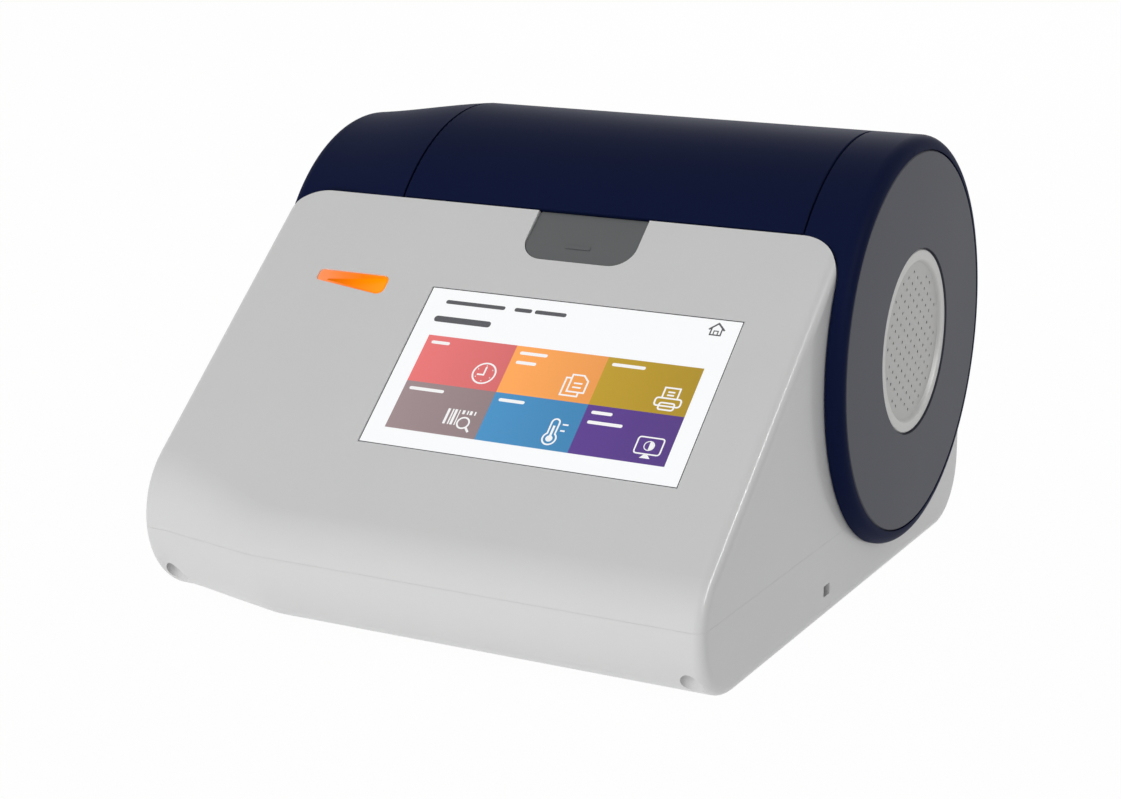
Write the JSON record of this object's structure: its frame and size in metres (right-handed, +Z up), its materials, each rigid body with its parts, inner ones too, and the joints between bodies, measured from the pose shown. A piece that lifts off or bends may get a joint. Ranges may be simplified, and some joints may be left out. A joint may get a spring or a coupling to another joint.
{
  "type": "glycated hemoglobin analyzer",
  "caption": "Desktop blood analyzer with a sloping white front panel, display window, side drum with a hinged navy lid, cartridge rotor and speaker grille.",
  "frame": {"origin": "middle of the footprint, on the surface that the feet stand on", "axes": "+X to the right seen from the front, +Y to the back, +Z up"},
  "size_m": [0.197, 0.2084, 0.1378],
  "materials": {
    "white_case": "fine satin moulding, off-white",
    "navy_plastic": "satin dark navy moulding",
    "slate_plastic": "smooth slate grey disc",
    "silver_grille": "silver paint on a perforated disc",
    "grey_plastic": "mid grey moulding",
    "screen_glass": "clear hard glass over the panel",
    "lcd": "liquid crystal panel in a metal frame",
    "orange_lens": "translucent orange diffuser",
    "dark_plastic": "dark grey moulding",
    "rotor_plastic": "dark grey glass-filled moulding",
    "gear_plastic": "natural acetal",
    "brass_gear": "cut brass",
    "steel": "plated steel",
    "zinc_steel": "zinc plated sheet",
    "motor_black": "black lacquered steel",
    "black_aluminium": "black anodised block",
    "bare_aluminium": "milled aluminium",
    "lens_glass": "ground glass lens",
    "circuit_board": "green solder mask",
    "chip_black": "black moulding",
    "speaker_black": "black paper cone and frame",
    "foot_rubber": "grey-black rubber",
    "flex_amber": "amber polyimide film"
  },
  "bodies": {
    "housing": {"lower_case": "white_case", "upper_housing": "white_case", "rear_cover": "navy_plastic", "hinge_pins": "steel", "right_end_cap": "navy_plastic", "left_end_cap": "navy_plastic", "right_end_plate": "slate_plastic", "speaker_grille": "silver_grille", "speaker": "speaker_black", "finger_dish": "grey_plastic", "display_glass": "screen_glass", "display_module": "lcd", "display_bracket": "zinc_steel", "display_screws": "steel", "lamp_lens": "orange_lens", "lamp_board": "circuit_board", "chamber_tub": "dark_plastic", "bearings": "steel", "motor": "motor_black", "motor_bracket": "zinc_steel", "optics_block": "black_aluminium", "optics_lens": "lens_glass", "detector_board": "circuit_board", "heater_plate": "bare_aluminium", "temperature_sensor": "chip_black", "main_board": "circuit_board", "board_chips": "chip_black", "coin_cell": "steel", "board_screws": "steel", "io_board": "circuit_board", "dc_jack": "chip_black", "usb_ports": "steel", "serial_port": "steel", "rocker_body": "chip_black", "feet": "foot_rubber", "case_screws": "steel", "cap_screws": "steel", "lid_sensor": "chip_black", "display_cable": "flex_amber"},
    "lid": {"lid": "navy_plastic", "lid_magnets": "steel"},
    "rotor": {"rotor": "rotor_plastic", "rotor_gear": "gear_plastic"},
    "motor_shaft": {"motor_pinion": "brass_gear"},
    "rocker": {"rocker": "chip_black"}
  },
  "joints": [
    {"name": "lid_hinge", "type": "hinge", "parent": "housing", "child": "lid", "pos_m": [0, 0.09246, 0.1048], "axis": [-1, 0, 0], "range_deg": [0, 85]},
    {"name": "rotor_spin", "type": "hinge", "parent": "housing", "child": "rotor", "pos_m": [0, 0.0405, 0.0748], "axis": [1, 0, 0], "range_deg": [-90, 90]},
    {"name": "motor_spin", "type": "hinge", "parent": "housing", "child": "motor_shaft", "pos_m": [0, 0.0405, 0.0373], "axis": [1, 0, 0], "range_deg": [-361, 361]},
    {"name": "power_rocker", "type": "hinge", "parent": "housing", "child": "rocker", "pos_m": [-0.062, 0.0993, 0.046], "axis": [0, 0, 1], "range_deg": [-16, 0]}
  ],
  "couplings": [
    {"joint": "motor_spin", "follows": "rotor_spin", "ratio": -4}
  ]
}
